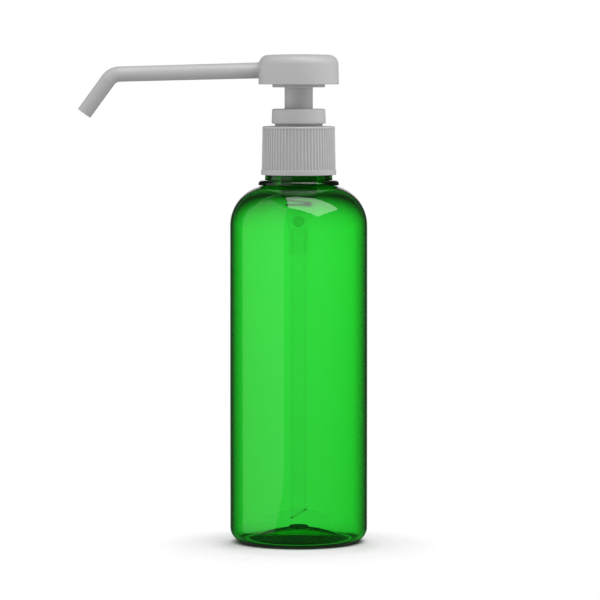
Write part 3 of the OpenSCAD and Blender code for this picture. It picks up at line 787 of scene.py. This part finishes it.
class World(Finish):
    """The world's node tree, with the same way to add nodes."""

    def __init__(self):
        self.tree = world.node_tree
        self.shader = self.tree.nodes["Background"]


SHEET_LIGHT = 0.91       # how bright the sheet looks through the bottle
OTHER_SIDES = 0.8        # the paper on the other sides, as a share of that
DARK = 0.02              # what rays meet past the sheet
INNER_GREY = 0.15        # what pieces inside the bottle receive
MIRRORED_PAPER = 0.85
MIRRORED_DARK = 0.05

studio = World()
seen = studio.add("LightPath", out="Is Camera Ray")
mirrored = studio.add("LightPath", out="Is Glossy Ray")
passed = studio.add("LightPath", out="Is Transmission Ray")
scattered = studio.step(studio.add("LightPath", out="Diffuse Depth"), 0.0, 1.0)
way = studio.add("TexCoord", out=0)
across, behind, upward = (studio.add("SeparateXYZ", None, {0: way}, out=axis) for axis in range(3))
sideways = studio.add("Math", {"operation": "ABSOLUTE"}, {0: across})

sheet = (1 - studio.step(sideways, 0.0, 0.36)) * studio.step(behind, -0.2, 0.3)
at_side = studio.step(sideways, 0.8, 0.95)
in_front = (1 - studio.step(behind, -0.5, -0.2)) * (1 - at_side)
below_top = 1 - studio.step(upward, -0.06, 0.05)
dimmer_low = studio.step(upward, -0.16, -0.02) * 0.22 + 0.78
through = (sheet + (at_side + in_front) * OTHER_SIDES) * below_top * dimmer_low * SHEET_LIGHT + DARK
inside = (1 - scattered) * through + scattered * INNER_GREY

straight = (studio.step(behind, 0.0, 0.2) * studio.step(upward, -0.1, -0.03)
            * (1 - studio.step(across * across, 0.02, 0.08)))
bounced = (1 - studio.step(upward, 0.22, 0.38)) * straight * MIRRORED_PAPER + MIRRORED_DARK

from_sides = studio.step(sideways, 0.3, 1.0) * 0.9 + studio.step(across, 0.0, 1.0) * 0.3
from_below = (1 - studio.step(upward, -0.3, 0.5)) * 0.4
fill = from_sides + from_below + 0.1
other = 1 - studio.add("Math", {"operation": "MINIMUM"}, {0: seen + mirrored + passed, 1: 1.0})
strength = seen + passed * inside + mirrored * (1 - passed) * bounced + other * fill
studio.plug(studio.shader, {"Color": (1, 1, 1, 1), "Strength": strength})

# %% [markdown]
# Softboxes
#
# Two reflections in the shoulder tell where the lights stood. A bright box hung high on the right and
# made the pale patch in the middle; a large dim card stood upright on the left, close by, and made
# the patch on the left that runs down the wall as a lighter strip. Each is an area light here, at the
# place that sends its reflection to the same spot. Seen through the bottle, neither is there.


# %% Softboxes
def softbox(name, centre, across, up, size, radiance):
    """A rectangular light with given sides; its power follows from how bright its face is."""
    data = bpy.data.lights.new(name, "AREA")
    data.shape = "RECTANGLE"
    data.size, data.size_y = size
    data.energy = math.pi * radiance * size[0] * size[1]
    lamp = bpy.data.objects.new(name, data)
    bpy.context.scene.collection.objects.link(lamp)
    lamp.visible_transmission = False
    x = Vector(across).normalized()
    back = x.cross(Vector(up)).normalized()
    turned = Matrix((x, back.cross(x), back)).transposed().to_4x4()
    lamp.matrix_world = Matrix.Translation(centre) @ turned
    print(name, "power", round(data.energy, 2), "W")


softbox("softbox_high", (0.118, -0.257, 0.639), (0.858, -0.132, -0.497), (0.117, 0.991, -0.062),
        (0.692, 0.517), 3.3)
softbox("card_left", (-0.391, -0.27, 0.442), (0.203, -0.979, 0.013), (0.01, 0.015, 1.0),
        (0.851, 1.021), 0.5)

# %% [markdown]
# Colour of the picture
#
# The Standard view transform shows each colour as it is written, so white paper stays white.

# %% Colour of the picture
bpy.context.scene.view_settings.view_transform = "Standard"

# %% [markdown]
# Finish
#
# Everything is deselected at the end.

# %% Finish
nothing_selected()
